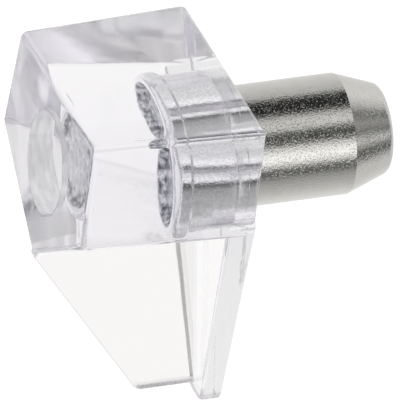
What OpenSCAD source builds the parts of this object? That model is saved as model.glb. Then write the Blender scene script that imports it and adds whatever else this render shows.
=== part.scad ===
// Shelf support with a clear moulded bracket and a plated steel pin.
// Units are millimetres. X runs into the wall, Z is up, and the origin
// is the pin axis where it meets the wall.

/* [Pin] */
// diameter of the shank that goes into the cabinet side
pin_diameter = 5; // [4:0.1:6]
// diameter of the neck behind the head
neck_diameter = 4.44; // [3.6:0.02:4.6]
// distance from the wall to the front of the head
head_front = 3.2; // [2.6:0.05:4]
// thickness of the head
head_thickness = 0.8; // [0.5:0.05:1]
// straight length of the shank outside the wall face
shank_length = 4.9; // [3:0.1:7]
// length of the plain seat of the shank inside the bracket
seat_length = 0.45; // [0.2:0.05:0.8]
// length of the tapered tip
tip_length = 1.86; // [1:0.02:3]
// diameter across the end of the tip before rounding
tip_diameter = 3.88; // [3:0.02:4]
// radius of the rounded end edge
tip_round = 0.4; // [0.1:0.05:0.8]
// diameter of the hollow in the head
hollow_diameter = 3.9; // [3:0.02:4.4]
// depth of the hollow at its wall
hollow_depth = 0.3; // [0.1:0.05:0.4]

/* [Block] */
// distance from the wall to the front face at the top
block_depth = 7.2; // [6:0.1:10]
// height of the flat top above the pin axis
top_height = 3.8; // [3.4:0.1:5]
// half width of the front face at the top
front_half_top = 5; // [4:0.05:6]
// half width of the front face at its lower side corner
front_half_low = 5.5; // [4.5:0.05:6.5]
// half width of the wall face at the top
wall_half_top = 5.52; // [4.5:0.02:6.5]
// half width of the wall face at its lower side corner
wall_half_low = 4.42; // [3.8:0.02:5.5]
// drop of the front lower side corner below the pin axis
front_drop = 0.6; // [0.2:0.05:1.5]
// drop of the wall lower side corner below the pin axis
wall_drop = 1.6; // [1:0.05:2.5]
// outward lean of the front face in degrees
front_lean = 6.5; // [0:0.1:12]
// slope of the V bottom in degrees
bottom_slope = 30; // [20:0.5:40]
// radius of the moulded edges
edge_round = 0.28; // [0.1:0.01:0.4]

/* [Recess] */
// diameter of the round recess in the front face
recess_diameter = 4.3; // [2:0.05:4.6]
// depth of the recess at its middle
recess_depth = 1; // [0.5:0.05:2]
// height of the recess middle above the pin axis
recess_height = 0.4; // [0:0.05:0.8]

/* [Plate and rib] */
// thickness of the wall plate below the block
plate_thickness = 1.2; // [0.8:0.05:2]
// thickness of the wall plate at the foot
foot_thickness = 0.87; // [0.6:0.01:1.5]
// half width of the plate near the foot
foot_half = 1.1; // [0.8:0.05:2]
// distance of the foot rounding below the pin axis
foot_drop = 10.75; // [9:0.05:13]
// radius of the rounded foot
foot_round = 0.75; // [0.4:0.05:1]
// thickness of the rib
rib_thickness = 0.8; // [0.5:0.05:1.5]
// distance from the wall to the lower front corner of the rib
rib_low_depth = 3.43; // [2:0.01:5]
// distance of the rib bottom below the pin axis
rib_drop = 10.75; // [8:0.05:12]

/* [Hidden] */
eps = 0.02;
ball_facets = 32;
round_facets = 96;
arc_steps = 8;
corner_steps = 5;
block_steps = 12;
corner_round = 0.28;
half_turn = 180;
quarter_turn = 90;
shank_r = pin_diameter / 2;
neck_r = neck_diameter / 2;
tip_r = tip_diameter / 2;
hollow_r = hollow_diameter / 2;
head_round = 0.4;
head_chamfer = 0.12;
shoulder_chamfer = 0.1;
seat_r = shank_r - 0.2;
hollow_taper = 0.25;
hollow_dish = 0.12;
tip_end = shank_length + tip_length;
lean = tan(front_lean);
slope = tan(bottom_slope);
side_inset = (1 - sin(bottom_slope)) / cos(bottom_slope);
front_ridge = front_drop + front_half_low * slope;
foot_edge = 0.18;
rib_edge = 0.2;
plate_top = 3 * eps + side_inset * edge_round - wall_drop;

function mix(a, b, t) = a + (b - a) * t;
function unit(v) = v / norm(v);
function left_of(v) = [-v[1], v[0]];

// front face position for a height z
function front_x(z) = -block_depth - lean * (top_height - z);

// direction from the start of the taper to the tangent point of the end rounding
tangent_run = tip_length - tip_round;
tangent_rise = tip_r - tip_round - shank_r;
tangent_gap = norm([tangent_run, tangent_rise]);
tangent_angle = atan2(tangent_rise, tangent_run) + asin(tip_round / tangent_gap);
tip_arc = [for (i = [0 : arc_steps])
    let (a = (quarter_turn + tangent_angle) * (1 - i / arc_steps))
    [tip_end - tip_round + tip_round * cos(a), tip_r - tip_round + tip_round * sin(a)]];
rim_arc = [for (i = [0 : arc_steps])
    let (a = half_turn - quarter_turn * i / arc_steps)
    [head_round - head_front + head_round * cos(a), shank_r - head_round + head_round * sin(a)]];

// half profile of the whole pin, distance along the axis and radius
head_back = head_thickness - head_front;
pin_profile = concat(
    [[hollow_depth + hollow_dish - head_front, 0]],
    [[hollow_depth - head_front, hollow_r - hollow_taper]],
    [[-head_front, hollow_r]],
    rim_arc,
    [[head_back - head_chamfer, shank_r]],
    [[head_back, shank_r - head_chamfer]],
    [[head_back, neck_r]],
    [[-seat_length, neck_r]],
    [[-seat_length, seat_r]],
    [[0, seat_r]],
    [[shoulder_chamfer, shank_r]],
    [[shank_length, shank_r]],
    tip_arc,
    [[tip_end, 0]]
);

module along_x() {
    rotate([0, quarter_turn, 0])
        children();
}

module pin_body() {
    along_x()
        rotate_extrude($fn = round_facets)
            polygon([for (p = pin_profile) [p[1], p[0]]]);
}

module ball(x, y, z) {
    translate([x, y, z])
        sphere(r = edge_round, $fn = ball_facets);
}

// pentagon of the block, t is 0 at the front face and 1 at the wall
function pentagon(t) =
    let (top_half = mix(front_half_top, wall_half_top, t))
    let (low_half = mix(front_half_low, wall_half_low, t))
    let (low_z = -mix(front_drop, wall_drop, t))
    [
        [-top_half, top_height],
        [-low_half, low_z],
        [0, low_z - low_half * slope],
        [low_half, low_z],
        [top_half, top_height]
    ];

// the pentagon with rounded corners, drawn in by inset all round
function section(t, inset) =
    let (corners = pentagon(t))
    let (count = len(corners))
    [for (i = [0 : count - 1])
        let (before = unit(corners[i] - corners[(i + count - 1) % count]))
        let (after = unit(corners[(i + 1) % count] - corners[i]))
        let (n1 = left_of(before))
        let (n2 = left_of(after))
        let (middle = corners[i] + corner_round * (n1 + n2) / (1 + n1 * n2))
        for (k = [0 : corner_steps])
            middle - (corner_round - inset) * unit(mix(n1, n2, k / corner_steps))];

// stations along the block: [end the station belongs to, distance in from it, inset, t]
stations = concat(
    [for (k = [0 : corner_steps])
        let (a = quarter_turn * k / corner_steps)
        [0, edge_round * (1 - cos(a)), edge_round * (1 - sin(a)), 0]],
    [for (k = [1 : block_steps - 1]) [k / block_steps, edge_round, 0, k / block_steps]],
    [for (k = [corner_steps : -1 : 0])
        let (a = quarter_turn * k / corner_steps)
        [1, edge_round * (1 - cos(a)), edge_round * (1 - sin(a)), 1]]
);

function station_x(st, z) = mix(front_x(z) + st[1], -st[1], st[0]);

block_rings = [for (st = stations)
    [for (p = section(st[3], st[2])) [station_x(st, p[1]), p[0], p[1]]]];

module block() {
    rings = len(block_rings);
    around = len(block_rings[0]);
    points = [for (ring = block_rings) for (p = ring) p];
    strips = [for (i = [0 : rings - 2]) for (j = [0 : around - 1])
        let (a = i * around + j)
        let (b = i * around + (j + 1) % around)
        for (face = [[a, b + around, b], [a, a + around, b + around]]) face];
    front_cap = [for (j = [0 : around - 1]) j];
    wall_cap = [for (j = [around - 1 : -1 : 0]) (rings - 1) * around + j];
    polyhedron(points = points, faces = concat([front_cap, wall_cap], strips), convexity = 4);
}

// disc with a rounded front edge, back on the wall
module foot_disc(side) {
    front_arc = [for (k = [0 : corner_steps])
        let (a = quarter_turn * k / corner_steps)
        [foot_round - foot_edge * (1 - cos(a)), foot_edge * (1 - sin(a)) - foot_thickness]];
    translate([0, side * (foot_half - foot_round), -foot_drop])
        along_x()
            rotate_extrude($fn = ball_facets)
                polygon(concat([[0, 0], [foot_round, 0]], front_arc, [[0, -foot_thickness]]));
}

// wall plate, from the lower corners of the block down to the foot
module plate() {
    hull() {
        for (s = [-1, 1]) {
            ball(-edge_round, s * (wall_half_low - edge_round - eps), plate_top);
            ball(edge_round - plate_thickness, s * (wall_half_low - edge_round - eps), plate_top);
            foot_disc(s);
        }
    }
}

// central rib under the block, with a rounded front edge
module rib() {
    hull() {
        translate([front_x(-front_ridge) + rib_thickness / 2, 0, -front_ridge])
            cylinder(d = rib_thickness, h = edge_round, $fn = ball_facets);
        translate([rib_thickness / 2 - rib_low_depth, 0, rib_edge - rib_drop])
            sphere(d = rib_thickness, $fn = ball_facets);
        translate([-plate_thickness / 2, -rib_thickness / 2, -rib_drop])
            cube([plate_thickness / 4, rib_thickness, rib_drop - front_ridge]);
    }
}

module recess() {
    translate([front_x(0) - recess_depth, 0, recess_height])
        along_x()
            cylinder(d = recess_diameter, h = 2 * recess_depth, $fn = round_facets);
}

module bracket() {
    color([0.90, 0.92, 0.93, 0.35])
        difference() {
            union() {
                block();
                plate();
                rib();
            }
            recess();
            pin_body();
        }
}

module steel_pin() {
    color([0.62, 0.62, 0.60])
        pin_body();
}

bracket();
steel_pin();
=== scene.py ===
import math

import bmesh
import bpy
from mathutils import Matrix, Vector


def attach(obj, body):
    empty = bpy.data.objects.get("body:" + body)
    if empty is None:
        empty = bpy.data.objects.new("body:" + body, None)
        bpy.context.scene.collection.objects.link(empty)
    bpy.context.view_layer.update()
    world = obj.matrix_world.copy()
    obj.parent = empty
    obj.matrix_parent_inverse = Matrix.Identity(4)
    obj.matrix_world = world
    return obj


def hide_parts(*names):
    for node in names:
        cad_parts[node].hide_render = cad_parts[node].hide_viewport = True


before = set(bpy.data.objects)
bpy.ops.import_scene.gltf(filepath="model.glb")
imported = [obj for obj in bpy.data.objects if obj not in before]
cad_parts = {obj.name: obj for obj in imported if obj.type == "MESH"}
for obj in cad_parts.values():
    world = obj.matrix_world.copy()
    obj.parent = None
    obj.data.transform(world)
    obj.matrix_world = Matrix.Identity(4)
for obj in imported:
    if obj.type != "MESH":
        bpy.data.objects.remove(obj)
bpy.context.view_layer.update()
MM = 0.001

# ---------------------------------------------------------------- sizes, mm
# They repeat the sizes of the part's source. X runs into the wall, Z is up, and the origin is the
# point where the pin's axis meets the wall.
PIN_R = 2.5
NECK_R = 2.22
HEAD_FRONT = 3.2
HEAD_BACK = 2.40
SHANK = 4.9
TIP_END = 6.76
TIP_R = 1.94
TIP_ROUND = 0.4
HOLLOW_R = 1.95
HOLLOW_DEPTH = 0.3
HOLLOW_TAPER = 0.25
HOLLOW_DISH = 0.12
HEAD_ROUND = 0.4
HEAD_CHAMFER = 0.12
SEAT = 0.45
SEAT_R = 2.3
SHOULDER = 0.1

BLOCK_DEPTH = 7.2
TOP = 3.8
FRONT_HALF = (5.0, 5.5)     # half widths of the front face, at the top and at its lower side corners
WALL_HALF = (5.52, 4.42)    # half widths of the wall face, at the same two heights
DROP = (0.6, 1.6)           # how far the lower side corners lie below the axis, at the front and the wall
LEAN = math.tan(math.radians(6.5))
SLOPE = math.tan(math.radians(30))
EDGE = 0.28
CORNER = 0.28

RECESS_R = 2.15
RECESS_DEPTH = 1.0
RECESS_Z = 0.4

PLATE = 1.2
FOOT_THICK = 0.87
FOOT_HALF = 1.1
FOOT_Z = -10.75
FOOT_ROUND = 0.75
FOOT_EDGE = 0.18
RIB = 0.8
RIB_EDGE = 0.2
RIB_LOW_X = -3.43
RIB_LOW_Z = -10.75
RIDGE_Z = -(DROP[0] + FRONT_HALF[1] * SLOPE)

# The rest belongs to the scene alone.
SKIN = 0.01                 # the plastic reaches this far into the metal, so nothing is coplanar
SEAT_GAP = 0.03             # air round the seat, where the plastic has shrunk away from the metal
SEAT_LINE = -0.05           # mean shift along X of the line where the plastic lets go of the neck
# Unevenness of that line: height of the waves, their number round the pin and their start in radians.
SEAT_WAVES = ((0.035, 2, 0.6), (0.02, 7, 0.0), (0.012, 17, 0.0))
CAVITY_END = 1.0            # the cutter for the pin ends at this X, past the wall face
CHAMFER_SLIDE = 0.4         # drawn out by 1, the ends of a 45 degree chamfer slide by about tan(22.5 degrees)
RECESS_REACH = 3.0          # the cutter for the recess starts this far in front of the recess's floor
FLOOR_EDGE = 0.06           # chamfer round the floor of the recess

PLATE_INSIDE = 0.7          # the plate goes on upwards for this height inside the block
PLATE_STEP = 0.03           # each side of the plate is this far in from the block where they meet
PLATE_CORNER = 0.2          # corner radius of the plate's hidden top
PLATE_BACK_EDGE = 0.1

RIB_BEHIND = 0.02           # the rib starts this far behind and below the front end of the ridge
RIB_BEYOND = 0.05           # its low front corner reaches this much further, as rounding takes some off
RIB_CORNER = 0.22
RIB_LOW_ROUND = 0.45        # radius of the low front corner
RIB_BACK_X = -0.5           # the back of the rib lies inside the plate
RIB_BACK_RISE = 0.6         # its hidden top rises above the ridge's front end by this much at the back
RIB_FRONT_RISE = 0.3        # and by this much in front, where it also lies this far behind that end

FINE = 10                   # steps in a rounding
BLOCK_STEPS = 24            # steps along the block
RING_STEPS = 128            # steps round a turned shape
ON_AXIS = 1e-6              # a point nearer to the axis than this lies on it
BRACKET_SHARP = 14          # edges that turn by more degrees than this stay sharp
PIN_SHARP = 12


def mix(a, b, t):
    return a + (b - a) * t


def mm(*sizes):
    """Sizes in mm as metres."""
    return tuple(size * MM for size in sizes)


# ---------------------------------------------------------------- mesh helpers
def new_object(name, bm):
    mesh = bpy.data.meshes.new(name)
    bm.normal_update()
    bm.to_mesh(mesh)
    bm.free()
    obj = bpy.data.objects.new(name, mesh)
    bpy.context.scene.collection.objects.link(obj)
    return obj


def loft(name, rings):
    """A closed solid through rings of points, capped at both ends. Points are in mm."""
    bm = bmesh.new()
    rows = [[bm.verts.new(point) for point in ring] for ring in rings]
    count = len(rows[0])
    for a, b in zip(rows, rows[1:]):
        for j in range(count):
            k = (j + 1) % count
            bm.faces.new((a[j], a[k], b[k], b[j]))
    bm.faces.new(rows[0][::-1])
    bm.faces.new(rows[-1])
    bmesh.ops.recalc_face_normals(bm, faces=bm.faces)
    return new_object(name, bm)


def revolve(name, profile, shift=None, shifted=()):
    """Turns (x, radius) points about the X axis. The ends lie on the axis.

    The points whose places in the profile are in shifted move along X by shift(angle).
    """
    bm = bmesh.new()
    angles = [2 * math.pi * i / RING_STEPS for i in range(RING_STEPS)]
    rows = []
    for place, (x, r) in enumerate(profile):
        if r < ON_AXIS:
            rows.append([bm.verts.new((x, 0, 0))])
            continue
        row = []
        for angle in angles:
            moved = x + (shift(angle) if place in shifted else 0)
            row.append(bm.verts.new((moved, r * math.cos(angle), r * math.sin(angle))))
        rows.append(row)
    for a, b in zip(rows, rows[1:]):
        for i in range(RING_STEPS):
            j = (i + 1) % RING_STEPS
            corners = [a[i % len(a)], a[j % len(a)], b[j % len(b)], b[i % len(b)]]
            bm.faces.new(list(dict.fromkeys(corners)))
    bmesh.ops.recalc_face_normals(bm, faces=bm.faces)
    return new_object(name, bm)


def combine(target, other, operation):
    """Boolean of two solids, applied to target; other is removed."""
    step = target.modifiers.new("solid", "BOOLEAN")
    step.operation = operation
    step.solver = "EXACT"
    step.object = other
    bpy.context.view_layer.update()
    graph = bpy.context.evaluated_depsgraph_get()
    mesh = bpy.data.meshes.new_from_object(target.evaluated_get(graph))
    target.modifiers.clear()
    target.data = mesh
    bpy.data.objects.remove(other)


def shade(piece, sharp):
    """Smooth shading, except over edges that turn by more than sharp degrees."""
    for poly in piece.data.polygons:
        poly.use_smooth = True
    bm = bmesh.new()
    bm.from_mesh(piece.data)
    for edge in bm.edges:
        if len(edge.link_faces) == 2 and edge.calc_face_angle() > math.radians(sharp):
            edge.smooth = False
    bm.to_mesh(piece.data)
    bm.free()
    even = piece.modifiers.new("even shading", "WEIGHTED_NORMAL")
    even.keep_sharp = True


def quarter():
    return [math.radians(90) * k / FINE for k in range(FINE + 1)]


def arc(x, r, radius, angles):
    return [(x + radius * math.cos(a), r + radius * math.sin(a)) for a in angles]


def edge_round(radius):
    """A rounded edge as pairs of distance in from the end face and inset of the outline."""
    return [(radius * (1 - math.cos(a)), radius * (1 - math.sin(a))) for a in quarter()]


def stations(ends, edges, middle=()):
    """Sections from one rounded end to the other: place, distance in from the end face and inset."""
    start = [(ends[0], inward, inset) for inward, inset in edge_round(edges[0])]
    finish = [(ends[1], inward, inset) for inward, inset in reversed(edge_round(edges[1]))]
    return [*start, *middle, *finish]


def rounded(corners, radii, inset):
    """An outline with rounded corners, drawn in by inset. Corners run anticlockwise."""
    points = []
    count = len(corners)
    for i, (corner, radius) in enumerate(zip(corners, radii)):
        here = Vector(corner)
        before = (here - Vector(corners[i - 1])).normalized()
        after = (Vector(corners[(i + 1) % count]) - here).normalized()
        # The inward normals of the two sides that meet here.
        first = Vector((-before.y, before.x))
        last = Vector((-after.y, after.x))
        middle = here + (first + last) * (radius / (1 + first.dot(last)))
        for k in range(FINE + 1):
            inward = first.lerp(last, k / FINE).normalized()
            points.append(middle - inward * (radius - inset))
    return points


# ---------------------------------------------------------------- bracket
def front_x(z):
    return -BLOCK_DEPTH - LEAN * (TOP - z)


FLOOR_X = front_x(RECESS_Z) + RECESS_DEPTH


def pentagon(t):
    """Section of the block. t is 0 at the front face and 1 at the wall."""
    top, low = (mix(front, wall, t) for front, wall in zip(FRONT_HALF, WALL_HALF))
    z = -mix(*DROP, t)
    return [(-top, TOP), (-low, z), (0, z - low * SLOPE), (low, z), (top, TOP)]


def make_block():
    middle = [(k / BLOCK_STEPS, EDGE, 0) for k in range(1, BLOCK_STEPS)]
    rings = []
    for t, inward, inset in stations((0, 1), (EDGE, EDGE), middle):
        corners = pentagon(t)
        rings.append([
            (mix(front_x(z) + inward, -inward, t), y, z)
            for y, z in rounded(corners, [CORNER] * len(corners), inset)
        ])
    return loft("block", rings)


def make_plate():
    """The wall plate, which narrows and thins from the block down to its rounded foot."""
    top = PLATE_INSIDE - DROP[1]
    bottom = FOOT_Z - FOOT_ROUND
    draft = (WALL_HALF[1] - FOOT_HALF) / (-DROP[1] - FOOT_Z)
    top_half = WALL_HALF[1] - PLATE_STEP + PLATE_INSIDE * draft
    low_half = FOOT_HALF - draft * FOOT_ROUND
    outline = [(-top_half, top), (-low_half, bottom), (low_half, bottom), (top_half, top)]
    radii = [PLATE_CORNER, FOOT_ROUND, FOOT_ROUND, PLATE_CORNER]

    def thickness(z):
        return mix(PLATE, FOOT_THICK, (-DROP[1] - z) / (-DROP[1] - bottom))

    rings = []
    for end, inward, inset in stations((0, 1), (FOOT_EDGE, PLATE_BACK_EDGE)):
        rings.append([
            (mix(-thickness(z) + inward, -inward, end), y, z)
            for y, z in rounded(outline, radii, inset)
        ])
    return loft("plate", rings)


def make_rib():
    """The central rib. Its outline in the XZ plane starts at the front and goes down first."""
    outline = [
        (front_x(RIDGE_Z) + RIB_BEHIND, RIDGE_Z - RIB_BEHIND),
        (RIB_LOW_X - RIB_BEYOND, RIB_LOW_Z),
        (RIB_BACK_X, RIB_LOW_Z),
        (RIB_BACK_X, RIDGE_Z + RIB_BACK_RISE),
        (front_x(RIDGE_Z) + RIB_FRONT_RISE, RIDGE_Z + RIB_FRONT_RISE),
    ]
    radii = [RIB_CORNER, RIB_LOW_ROUND, RIB_CORNER, RIB_CORNER, RIB_CORNER]
    rings = []
    for side, inward, inset in stations((-1, 1), (RIB_EDGE, RIB_EDGE)):
        y = side * (RIB / 2 - inward)
        rings.append([(x, y, z) for x, z in rounded(outline, radii, inset)])
    return loft("rib", rings)


def make_recess():
    start = FLOOR_X - RECESS_REACH
    recess = revolve("recess", [
        (start, 0),
        (start, RECESS_R),
        (FLOOR_X - FLOOR_EDGE, RECESS_R),
        (FLOOR_X, RECESS_R - FLOOR_EDGE),
        (FLOOR_X, 0),
    ])
    recess.data.transform(Matrix.Translation((0, 0, RECESS_Z)))
    return recess


# ---------------------------------------------------------------- pin
def pin_profile(grow=0.0):
    """Half profile of the pin as (x, radius) points, drawn out by grow or in where it is negative."""
    slide = CHAMFER_SLIDE * grow
    rim_angles = [math.pi - a for a in quarter()]
    rim = arc(HEAD_ROUND - HEAD_FRONT, PIN_R - HEAD_ROUND, HEAD_ROUND + grow, rim_angles)
    # The taper is tangent to the round of the tip, where the arc starts.
    run = TIP_END - TIP_ROUND - SHANK
    rise = TIP_R - TIP_ROUND - PIN_R
    start = math.radians(90) + math.atan2(rise, run) + math.asin(TIP_ROUND / math.hypot(run, rise))
    tip_angles = [start * (1 - i / FINE) for i in range(FINE + 1)]
    tip = arc(TIP_END - TIP_ROUND, TIP_R - TIP_ROUND, TIP_ROUND + grow, tip_angles)
    return [
        (HOLLOW_DEPTH + HOLLOW_DISH - HEAD_FRONT - grow, 0),
        (HOLLOW_DEPTH - HEAD_FRONT - grow, HOLLOW_R - HOLLOW_TAPER - grow),
        (-HEAD_FRONT - grow, HOLLOW_R - grow),
        *rim,
        (-HEAD_BACK - HEAD_CHAMFER + slide, PIN_R + grow),
        (-HEAD_BACK + grow, PIN_R - HEAD_CHAMFER + slide),
        (-HEAD_BACK + grow, NECK_R + grow),
        (-SEAT + grow, NECK_R + grow),
        (-SEAT + grow, SEAT_R + grow),
        (grow, SEAT_R + grow),
        (SHOULDER, PIN_R + grow),
        (SHANK, PIN_R + grow),
        *tip,
        (TIP_END + grow, 0),
    ]


def seat_line(angle):
    """The uneven line where the plastic lets go of the neck, as a shift along X."""
    return SEAT_LINE + sum(height * math.sin(count * angle + start) for height, count, start in SEAT_WAVES)


def make_cavity():
    """The space of the head and neck in the plastic, then the wider air gap round the seat."""
    head = [point for point in pin_profile(-SKIN) if point[0] < -HEAD_BACK]
    profile = head + [
        (-SEAT - SEAT_GAP, NECK_R - SKIN),
        (-SEAT - SEAT_GAP, SEAT_R + SEAT_GAP),
        (CAVITY_END, SEAT_R + SEAT_GAP),
        (CAVITY_END, 0),
    ]
    return revolve("cavity", profile, shift=seat_line, shifted=(len(head), len(head) + 1))


# ---------------------------------------------------------------- pieces
bracket = make_block()
combine(bracket, make_plate(), "UNION")
combine(bracket, make_rib(), "UNION")
combine(bracket, make_recess(), "DIFFERENCE")
combine(bracket, make_cavity(), "DIFFERENCE")
bracket.name = "bracket_moulding"
bracket.data.transform(Matrix.Scale(MM, 4))
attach(bracket, "root")
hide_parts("bracket")
shade(bracket, BRACKET_SHARP)

pin = revolve("pin_turned", pin_profile())
pin.data.transform(Matrix.Scale(MM, 4))
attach(pin, "root")
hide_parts("steel_pin")
shade(pin, PIN_SHARP)

# ---------------------------------------------------------------- node helpers
WHITE = (1, 1, 1)
FADE = 0.1              # mm, half the width of a change of look along X
# Stretches of the noise's values, which lie mostly between 0.3 and 0.7. A narrow one gives strong contrast.
WHOLE_NOISE = (0.3, 0.7)
MIDDLE_NOISE = (0.35, 0.65)
INNER_NOISE = (0.38, 0.62)
NOISE_PEAKS = (0.54, 0.76)


def fill(tree, node, inputs):
    """Gives each input a number, a vector, a colour or the output of another node."""
    for key, value in inputs.items():
        socket = node.inputs[key]
        if isinstance(value, (int, float)):
            socket.default_value = value
        elif isinstance(value, tuple):
            socket.default_value = (*value, 1) if len(socket.default_value) > len(value) else value
        else:
            tree.links.new(value, socket)


def add(tree, kind, inputs=None, **settings):
    """A new node with its settings, then its inputs."""
    made = tree.nodes.new(kind)
    for key, value in settings.items():
        setattr(made, key, value)
    fill(tree, made, inputs or {})
    return made


def maths(tree, operation, *values):
    return add(tree, "ShaderNodeMath", dict(enumerate(values)), operation=operation).outputs[0]


def vector_maths(tree, operation, inputs, output="Vector"):
    return add(tree, "ShaderNodeVectorMath", inputs, operation=operation).outputs[output]


def split(tree, vector):
    return add(tree, "ShaderNodeSeparateXYZ", {0: vector}).outputs


def blend(tree, factor, first, second):
    """A colour that goes from first to second as factor goes from 0 to 1."""
    inputs = {"Factor": factor, "A": first, "B": second}
    return add(tree, "ShaderNodeMix", inputs, data_type="RGBA").outputs["Result"]


def spread(tree, value, source, target=(0.0, 1.0), kind="LINEAR"):
    """Takes a value from the range source over to the range target, and stops at its ends."""
    inputs = {
        "Value": value,
        "From Min": source[0],
        "From Max": source[1],
        "To Min": target[0],
        "To Max": target[1],
    }
    return add(tree, "ShaderNodeMapRange", inputs, interpolation_type=kind).outputs["Result"]


def object_place(tree):
    return add(tree, "ShaderNodeTexCoord").outputs["Object"]


def from_axis(tree, height=0.0):
    """Distance from a line along X that lies height mm above the pin's axis."""
    across = vector_maths(tree, "MULTIPLY", {0: object_place(tree), 1: (0, 1, 1)})
    return vector_maths(tree, "DISTANCE", {0: across, 1: (0, 0, height * MM)}, "Value")


def noise(tree, scale, detail, seed=0.0, stretch=(1, 1, 1)):
    """Noise in object space; scale is in waves per mm."""
    place = {"Vector": object_place(tree), "Scale": stretch, "Location": (seed, seed, seed)}
    moved = add(tree, "ShaderNodeMapping", place).outputs["Vector"]
    waves = {"Vector": moved, "Scale": scale / MM, "Detail": detail}
    return add(tree, "ShaderNodeTexNoise", waves).outputs["Fac"]


def bump(tree, height, distance, strength=1.0, under=None):
    """Tilts the surface by height; distance is in mm, and under is another bump that this one adds to."""
    inputs = {"Height": height, "Distance": distance * MM, "Strength": strength}
    if under:
        inputs["Normal"] = under
    return add(tree, "ShaderNodeBump", inputs).outputs["Normal"]


def material(name):
    mat = bpy.data.materials.new(name)
    mat.use_nodes = True
    tree = mat.node_tree
    return mat, tree, tree.nodes["Principled BSDF"]


# ---------------------------------------------------------------- clear plastic
# A face has none of the mould texture where its normal is at the first value, all of it at the second.
FAR_SIDE = (0.5, 0.8)           # the normal's Y
UNDERSIDE = (-0.3, -0.6)        # the normal's Z
RIB_ROOT = (1.7, 1.1)           # mm from the rib's middle, the same for the dull strip along its root
WALL_NEAR = 0.02                # mm from the wall of the recess, its mask is full up to here
WALL_FAR = 0.07                 # and it is gone from here on


def recess_wall(tree):
    """1 on the round wall of the recess, 0 elsewhere: the mask of its painted shade and of its duller finish.
    """
    radius = from_axis(tree, RECESS_Z)
    x = split(tree, object_place(tree))["X"]
    inner = spread(tree, radius, mm(RECESS_R - WALL_FAR, RECESS_R - WALL_NEAR))
    outer = spread(tree, radius, mm(RECESS_R + WALL_FAR, RECESS_R + WALL_NEAR))
    in_front = spread(tree, x, mm(FLOOR_X + 3 * FADE, FLOOR_X + FADE))
    return maths(tree, "MULTIPLY", maths(tree, "MULTIPLY", inner, outer), in_front)


def outward_normal(tree):
    """The normal that points out of the plastic, also where light meets a face from inside."""
    surface = add(tree, "ShaderNodeNewGeometry").outputs
    side = spread(tree, surface["Backfacing"], (0.0, 1.0), (1.0, -1.0))
    return split(tree, vector_maths(tree, "SCALE", {0: surface["Normal"], "Scale": side}))


def plastic_roughness(tree, recess):
    """The far side and the underside keep a fine mould texture; the rib's root and the recess are duller."""
    normal = outward_normal(tree)
    underside = spread(tree, normal["Z"], UNDERSIDE)
    frosted = maths(tree, "MAXIMUM", spread(tree, normal["Y"], FAR_SIDE), underside)
    aside = maths(tree, "ABSOLUTE", split(tree, object_place(tree))["Y"])
    root = maths(tree, "MULTIPLY", spread(tree, aside, mm(*RIB_ROOT)), underside)
    rough = spread(tree, noise(tree, scale=0.9, detail=2, seed=3.0), WHOLE_NOISE, (0.01, 0.045))
    for mask, extra in ((frosted, 0.09), (root, 0.25), (recess, 0.14)):
        rough = maths(tree, "MULTIPLY_ADD", mask, extra, rough)
    return rough


def clear_plastic():
    mat, tree, shader = material("clear_plastic")
    recess = recess_wall(tree)
    # Painted shade: the round wall of the recess is coloured a streaky grey in place of the plastic's clear
    # colour.
    streaks = spread(tree, noise(tree, scale=1.4, detail=2, seed=7.0, stretch=(3, 1, 0.5)), MIDDLE_NOISE)
    painted_recess_shade = blend(tree, streaks, (0.40, 0.40, 0.43), (0.58, 0.58, 0.61))
    fill(tree, shader, {
        "Base Color": blend(tree, recess, (0.975, 0.975, 0.972), painted_recess_shade),
        "Roughness": plastic_roughness(tree, recess),
        "Normal": bump(tree, noise(tree, scale=0.6, detail=2), distance=0.016),
        "IOR": 1.47,
        "Transmission Weight": 1.0,
    })
    # The tint grows with the depth of plastic that light passes. Density is per metre.
    tint = add(tree, "ShaderNodeVolumeAbsorption", {"Color": (0.89, 0.88, 0.93), "Density": 65})
    fill(tree, tree.nodes["Material Output"], {"Volume": tint.outputs["Volume"]})
    return mat


# ---------------------------------------------------------------- plated steel
FACE_HIGHLIGHT_DEPTH = 0.2                # mm, a painted highlight makes the head paler from its front back to here
HOLLOW_EDGE = (0.01, -0.05)     # mm from the hollow's radius, over which its look sets in
HOLLOW_SIDE = (1.1, 1.6)        # mm from the axis, from the hollow's middle to its side, over which its painted shade sets in


def steel_roughness(tree, taper):
    """A fine satin, and a little duller on the taper."""
    satin = spread(tree, noise(tree, scale=4, detail=2, seed=2.0), WHOLE_NOISE, (0.015, 0.05))
    return maths(tree, "MULTIPLY_ADD", taper, 0.02, satin)


def steel_relief(tree, inside, taper, hollow, hollow_side):
    """Dents of the plating, raised grains that sparkle in the dark bands, and the crumpled hollow."""
    worn = maths(tree, "MULTIPLY_ADD", taper, 0.05, spread(tree, inside, (0.0, 1.0), (0.35, 0.30)))
    dents = bump(tree, noise(tree, scale=11.5, detail=4), distance=0.024, strength=worn)
    specks = spread(tree, noise(tree, scale=15, detail=1, seed=8.0), NOISE_PEAKS)
    raised = spread(tree, inside, (0.0, 1.0), (1.0, 0.15))
    grains = bump(tree, specks, distance=0.0048, strength=raised, under=dents)
    rugged = maths(tree, "MULTIPLY", hollow, spread(tree, hollow_side, (0.0, 1.0), (0.35, 1.0)))
    crumple = noise(tree, scale=2.2, detail=4, seed=5.0)
    return bump(tree, crumple, distance=0.14, strength=rugged, under=grains)


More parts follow.
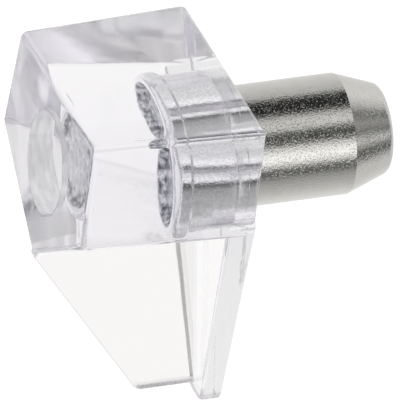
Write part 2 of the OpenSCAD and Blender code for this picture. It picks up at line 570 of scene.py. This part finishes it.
def steel_colour(tree, inside, face, hollow, hollow_side):
    """Grey plating, with a painted highlight that makes the head's face pale. The hollow gets painted shade
    that makes it dark at its side, and it is paler in its middle.
    """
    shades = noise(tree, scale=2.5, detail=3, seed=1.0)
    sparkle = spread(tree, noise(tree, scale=9, detail=3, seed=4.0), INNER_NOISE)
    pitted = spread(tree, noise(tree, scale=2.8, detail=4, seed=6.0), INNER_NOISE)
    bare = blend(tree, shades, (0.64, 0.64, 0.61), (0.72, 0.72, 0.71))
    sealed = blend(tree, sparkle, (0.68, 0.68, 0.70), (0.80, 0.80, 0.82))
    middle = blend(tree, pitted, (0.58, 0.59, 0.61), (0.80, 0.81, 0.83))
    # Painted shade: the hollow darkens towards its side.
    side = blend(tree, pitted, (0.14, 0.15, 0.17), (0.78, 0.79, 0.81))
    colour = blend(tree, inside, bare, sealed)
    # Painted highlight: the head's front face is lifted to a pale grey.
    colour = blend(tree, face, colour, (0.86, 0.86, 0.88))
    return blend(tree, hollow, colour, blend(tree, hollow_side, middle, side))


def plated_steel():
    mat, tree, shader = material("plated_steel")
    x = split(tree, object_place(tree))["X"]
    radius = from_axis(tree)
    inside = spread(tree, x, mm(FADE, -FADE))
    taper = spread(tree, x, mm(SHANK - FADE, SHANK + FADE))
    # Mask of the painted highlight on the head's front face.
    face = spread(tree, x, mm(FACE_HIGHLIGHT_DEPTH + FADE - HEAD_FRONT, FACE_HIGHLIGHT_DEPTH - FADE - HEAD_FRONT))
    near_axis = spread(tree, radius, mm(*(HOLLOW_R + edge for edge in HOLLOW_EDGE)))
    hollow = maths(tree, "MULTIPLY", near_axis, inside)
    # Mask of the hollow's painted shade, which grows towards its side, and of its rugged relief.
    hollow_side = spread(tree, radius, mm(*HOLLOW_SIDE))
    fill(tree, shader, {
        "Base Color": steel_colour(tree, inside, face, hollow, hollow_side),
        "Metallic": 1.0,
        "Roughness": steel_roughness(tree, taper),
        "Normal": steel_relief(tree, inside, taper, hollow, hollow_side),
    })
    return mat


for piece, look in ((bracket, clear_plastic()), (pin, plated_steel())):
    piece.data.materials.clear()
    piece.data.materials.append(look)

# ---------------------------------------------------------------- world
# A studio of long strips beside the object: the strips run along X, so a strip is a band of angles
# about X, counted from +Y (behind) over +Z (above). A pair is degrees and level, and level 1 is white.
# The levels were set by comparing renders with the photograph.
STRIPS = [
    (-180, 1.40), (-172, 1.34), (-165, 0.94), (-159, 0.44), (-153, 0.18), (-144, 0.10), (-135, 0.38),
    (-128, 0.45), (-99, 0.66), (-75, 0.86), (-51, 0.88), (2, 0.80), (27, 0.76), (39, 0.67),
    (51, 0.62), (57, 0.68), (63, 0.18), (69, 0.04), (81, 0.02), (94, 0.03), (99, 0.07), (105, 0.56),
    (111, 0.72), (117, 0.81), (125, 0.84), (130, 0.72), (135, 0.18), (141, 0.09), (153, 0.08),
    (159, 0.34), (165, 0.84), (180, 1.40),
]
# The same studio as it is seen through the clear plastic, where the pale paper behind fills more of the view.
CLEAR_STRIPS = [
    (-180, 0.44), (-170, 0.47), (-158, 0.52), (-136, 0.62), (-122, 0.58), (-110, 0.58), (-98, 0.80),
    (-86, 1.02), (-76, 0.90), (-62, 1.02), (-26, 1.02), (-13, 0.90), (-2, 0.92), (10, 1.00),
    (26, 1.00), (30, 0.97), (33, 0.82), (37, 0.76), (42, 0.84), (60, 0.94), (82, 0.92), (100, 0.94),
    (116, 1.10), (124, 1.24), (132, 1.26), (141, 1.22), (147, 0.76), (152, 0.12), (158, 0.07),
    (166, 0.22), (172, 0.36), (180, 0.44),
]
# The end of the studio towards +X, as the taper of the tip shows it.
WALL_STRIPS = [
    (-180, 0.84), (-172, 0.54), (-163, 0.25), (-153, 0.13), (-143, 0.11), (-132, 0.39), (-120, 0.74),
    (-92, 0.75), (-60, 0.78), (20, 0.83), (56, 0.90), (70, 0.70), (84, 0.66), (92, 0.30),
    (100, 0.20), (118, 0.24), (128, 0.46), (138, 0.34), (150, 0.20), (158, 0.20), (168, 0.50),
    (177, 0.82), (180, 0.84),
]
STRIP_TINT = (1.0, 0.99, 0.97)
CLEAR_TINT = (1.0, 0.99, 0.985)
FRONT_TONE = (1.00, 0.99, 1.00)          # towards -X, in front of the head
CLEAR_WALL_TONE = (0.88, 0.87, 0.88)     # towards +X, where the cabinet side would be
# An end of the studio sets in where a direction's X is at the first value, and is all there is at the second.
WALL_END = (0.35, 0.68)
CLEAR_WALL_END = (0.5, 0.95)
FRONT_END = (-0.35, -0.8)


def strip_bands(tree, turn, strips, tint):
    """A colour ramp round the X axis."""
    bands = add(tree, "ShaderNodeValToRGB", {"Fac": turn})
    ramp = bands.color_ramp
    while len(ramp.elements) > 1:
        ramp.elements.remove(ramp.elements[-1])
    for i, (degrees, level) in enumerate(strips):
        place = degrees / 360 + 0.5
        stop = ramp.elements[0] if i == 0 else ramp.elements.new(place)
        stop.position = place
        stop.color = (*(level * part for part in tint), 1)
    return bands.outputs["Color"]


def make_studio():
    world = bpy.data.worlds.new("studio")
    world.use_nodes = True
    tree = world.node_tree
    tree.nodes.clear()
    way = split(tree, add(tree, "ShaderNodeTexCoord").outputs["Generated"])
    ray = add(tree, "ShaderNodeLightPath").outputs
    turn = maths(tree, "MULTIPLY_ADD", maths(tree, "ARCTAN2", way["Z"], way["Y"]), 0.5 / math.pi, 0.5)

    def towards(end):
        return spread(tree, way["X"], end, kind="SMOOTHSTEP")

    shiny = strip_bands(tree, turn, STRIPS, STRIP_TINT)
    shiny = blend(tree, towards(WALL_END), shiny, strip_bands(tree, turn, WALL_STRIPS, STRIP_TINT))
    clear = strip_bands(tree, turn, CLEAR_STRIPS, CLEAR_TINT)
    clear = blend(tree, towards(CLEAR_WALL_END), clear, CLEAR_WALL_TONE)
    studio = blend(tree, ray["Is Transmission Ray"], shiny, clear)
    studio = blend(tree, towards(FRONT_END), studio, FRONT_TONE)
    studio = blend(tree, ray["Is Camera Ray"], studio, WHITE)
    sky = add(tree, "ShaderNodeBackground", {"Color": studio})
    add(tree, "ShaderNodeOutputWorld", {"Surface": sky.outputs[0]})
    return world


bpy.context.scene.world = make_studio()

# ---------------------------------------------------------------- floor
FLOOR_Z = -0.05         # metres
FLOOR_HALF = 2.0        # metres


def white_paper():
    """Matt white paper, lifted to plain white where the camera sees it."""
    mat, tree, shader = material("white_paper")
    seen = add(tree, "ShaderNodeLightPath").outputs["Is Camera Ray"]
    fill(tree, shader, {
        "Base Color": (0.8, 0.8, 0.8),
        "Roughness": 0.9,
        "Specular IOR Level": 0.0,
        "Emission Color": WHITE,
        "Emission Strength": maths(tree, "MULTIPLY", seen, 0.6),
    })
    return mat


bm = bmesh.new()
bmesh.ops.create_grid(bm, x_segments=1, y_segments=1, size=FLOOR_HALF)
floor = new_object("floor", bm)
floor.location.z = FLOOR_Z
floor.visible_glossy = False          # metal and plastic show the studio's own pale floor band
floor.visible_transmission = False
floor.data.materials.append(white_paper())


# ---------------------------------------------------------------- light
def lamp(name, place, size, power):
    """A square lamp that points at the origin, in metres and watts."""
    data = bpy.data.lights.new(name, "AREA")
    data.shape = "RECTANGLE"
    data.size = size
    data.size_y = size
    data.energy = power
    obj = bpy.data.objects.new(name, data)
    bpy.context.scene.collection.objects.link(obj)
    obj.location = place
    obj.rotation_euler = (-Vector(place)).to_track_quat("-Z", "Y").to_euler()
    return obj


softbox = lamp("softbox", place=(-0.1, -0.1, 0.5), size=0.4, power=0.5)
softbox.visible_glossy = False        # the strips of the studio are what the metal shows
softbox.visible_transmission = False

# ---------------------------------------------------------------- camera
# The photograph's view: a long lens a little above the object, seen from the front left.
VIEW_AZIMUTH = -18.76
VIEW_ELEVATION = 30.04
VIEW_ROLL = 2.12
PICTURE = 400                     # pixels across the photograph
PIXELS_PER_MM = 24.617
PIN_PIXEL = (223.23, 148.36)      # where the pin's axis meets the wall face
DISTANCE = 0.6                    # metres
SENSOR = 36.0                     # mm
CLIP = (0.01, 10)                 # metres

azimuth, elevation, roll = (math.radians(v) for v in (VIEW_AZIMUTH, VIEW_ELEVATION, VIEW_ROLL))
sideways = Vector((math.cos(azimuth), math.sin(azimuth), 0))
back = Vector((
    math.sin(azimuth) * math.cos(elevation),
    -math.cos(azimuth) * math.cos(elevation),
    math.sin(elevation),
))
upright = back.cross(sideways)
right = sideways * math.cos(roll) + upright * math.sin(roll)
up = -sideways * math.sin(roll) + upright * math.cos(roll)
centre = (
    right * ((PICTURE / 2 - PIN_PIXEL[0]) / PIXELS_PER_MM)
    + up * ((PIN_PIXEL[1] - PICTURE / 2) / PIXELS_PER_MM)
) * MM
optics = bpy.data.cameras.new("camera")
optics.sensor_width = SENSOR
optics.lens = SENSOR * DISTANCE * PIXELS_PER_MM / MM / PICTURE
optics.clip_start, optics.clip_end = CLIP
camera = bpy.data.objects.new("camera", optics)
bpy.context.scene.collection.objects.link(camera)
turned = Matrix((right, up, back)).transposed().to_4x4()
camera.matrix_world = Matrix.Translation(centre + back * DISTANCE) @ turned
bpy.context.scene.camera = camera
bpy.context.scene.view_settings.view_transform = "Standard"

# Light turns many times inside the clear moulding before it leaves.
BOUNCES = 32
cycles = bpy.context.scene.cycles
cycles.max_bounces = cycles.glossy_bounces = cycles.transmission_bounces = BOUNCES
